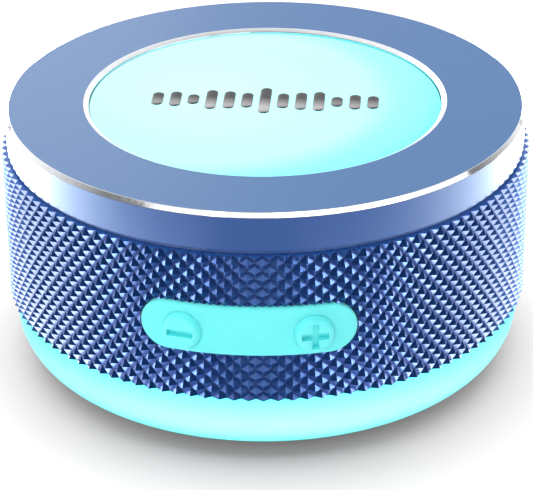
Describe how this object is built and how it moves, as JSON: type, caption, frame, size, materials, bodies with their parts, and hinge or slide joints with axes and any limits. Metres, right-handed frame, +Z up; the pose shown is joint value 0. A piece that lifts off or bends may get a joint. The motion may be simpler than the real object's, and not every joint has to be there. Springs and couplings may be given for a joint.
{
  "type": "bluetooth audio receiver",
  "caption": "Puck-shaped wireless speaker that receives audio: metal top ring, glossy disc, diamond-knurled wall with a flush key panel, soft rounded base and a rear charging port.",
  "frame": {"origin": "middle of the plane that the four feet stand on, on the axis of the round body", "axes": "+Z up along the body axis, -Y towards the key panel, +Y towards the charging port"},
  "size_m": [0.0869, 0.0874, 0.0443],
  "materials": {
    "satin_blue_metal": "satin anodised with polished bright edges",
    "gloss_pale_blue": "gloss",
    "polished_chrome": "mirror polished",
    "knurled_blue_metal": "glossy anodised, diamond knurled",
    "pale_blue_silicone": "soft matte silicone",
    "pale_blue_base": "soft satin silicone",
    "grey_foot_rubber": "matte",
    "navy_seal_rubber": "matte",
    "navy_grille_metal": "satin powder coat",
    "black_foam": "open cell foam",
    "black_moulded_plastic": "fine spark texture",
    "zinc_screw_steel": "zinc plated",
    "black_driver_steel": "satin black",
    "black_surround_rubber": "satin",
    "black_cone_paper": "fibrous",
    "amber_former_film": "film",
    "copper_winding": "enamelled winding",
    "amber_spider_cloth": "woven, corrugated",
    "plated_steel": "plated",
    "dark_ferrite": "sintered",
    "brass_terminals": "tinned edges",
    "green_circuit_board": "solder mask",
    "shield_can_steel": "tinned",
    "black_chip_epoxy": "moulded",
    "capacitor_aluminium": "drawn can",
    "silver_battery_wrap": "laminated pouch",
    "cream_connector_plastic": "moulded",
    "lead_insulation": "extruded",
    "socket_steel": "drawn",
    "navy_knob_plastic": "moulded",
    "clear_lamp_resin": "clear"
  },
  "bodies": {
    "housing": {"amplifier_chip": "black_chip_epoxy", "base_screws": "zinc_screw_steel", "base_shell": "pale_blue_base", "battery_cell": "silver_battery_wrap", "battery_foam_pad": "black_foam", "battery_leads": "lead_insulation", "battery_socket": "cream_connector_plastic", "bezel_seal": "navy_seal_rubber", "bluetooth_module": "shield_can_steel", "bottom_grille": "navy_grille_metal", "button_panel": "pale_blue_silicone", "deck_screws": "zinc_screw_steel", "disc_emblem": "polished_chrome", "disc_foam_pad": "black_foam", "driver_basket": "black_driver_steel", "driver_gasket": "black_foam", "driver_magnet": "dark_ferrite", "driver_screws": "zinc_screw_steel", "driver_spider": "amber_spider_cloth", "driver_surround": "black_surround_rubber", "driver_terminals": "brass_terminals", "driver_top_plate": "plated_steel", "driver_yoke": "plated_steel", "foot_pads": "grey_foot_rubber", "grille_gasket": "black_foam", "inner_chassis": "black_moulded_plastic", "knurled_sleeve": "knurled_blue_metal", "main_pcb": "green_circuit_board", "microphone": "shield_can_steel", "minus_switch_body": "black_chip_epoxy", "pcb_screws": "zinc_screw_steel", "plus_switch_body": "black_chip_epoxy", "power_capacitors": "capacitor_aluminium", "power_inductor": "dark_ferrite", "power_switch_body": "black_chip_epoxy", "rear_port_panel": "pale_blue_silicone", "speaker_leads": "lead_insulation", "speaker_socket": "cream_connector_plastic", "status_led": "clear_lamp_resin", "status_light_pipe": "clear_lamp_resin", "top_bezel_ring": "satin_blue_metal", "top_deck": "black_moulded_plastic", "top_disc": "gloss_pale_blue", "usb_socket": "socket_steel"},
    "minus_key": {"key_minus": "pale_blue_silicone", "minus_switch_plunger": "cream_connector_plastic"},
    "plus_key": {"key_plus": "pale_blue_silicone", "plus_switch_plunger": "cream_connector_plastic"},
    "power_knob": {"power_switch_knob": "navy_knob_plastic"},
    "diaphragm": {"driver_cone": "black_cone_paper", "driver_dust_cap": "black_cone_paper", "driver_voice_coil_former": "amber_former_film", "driver_voice_coil": "copper_winding"}
  },
  "joints": [
    {"name": "minus_key_press", "type": "slide", "parent": "housing", "child": "minus_key", "axis": [0.2326, 0.9726, 0], "range_m": [0, 0.0005], "stiffness_N_per_m": 400, "springref_m": -0.002},
    {"name": "plus_key_press", "type": "slide", "parent": "housing", "child": "plus_key", "axis": [-0.2326, 0.9726, 0], "range_m": [0, 0.0005], "stiffness_N_per_m": 400, "springref_m": -0.002},
    {"name": "power_knob_slide", "type": "slide", "parent": "housing", "child": "power_knob", "axis": [0.9613, -0.2756, 0], "range_m": [0, 0.002]},
    {"name": "diaphragm_travel", "type": "slide", "parent": "housing", "child": "diaphragm", "axis": [0, 0, 1], "range_m": [-0.0008, 0.0008], "stiffness_N_per_m": 1000, "deforming": ["driver_surround", "driver_spider"]}
  ]
}
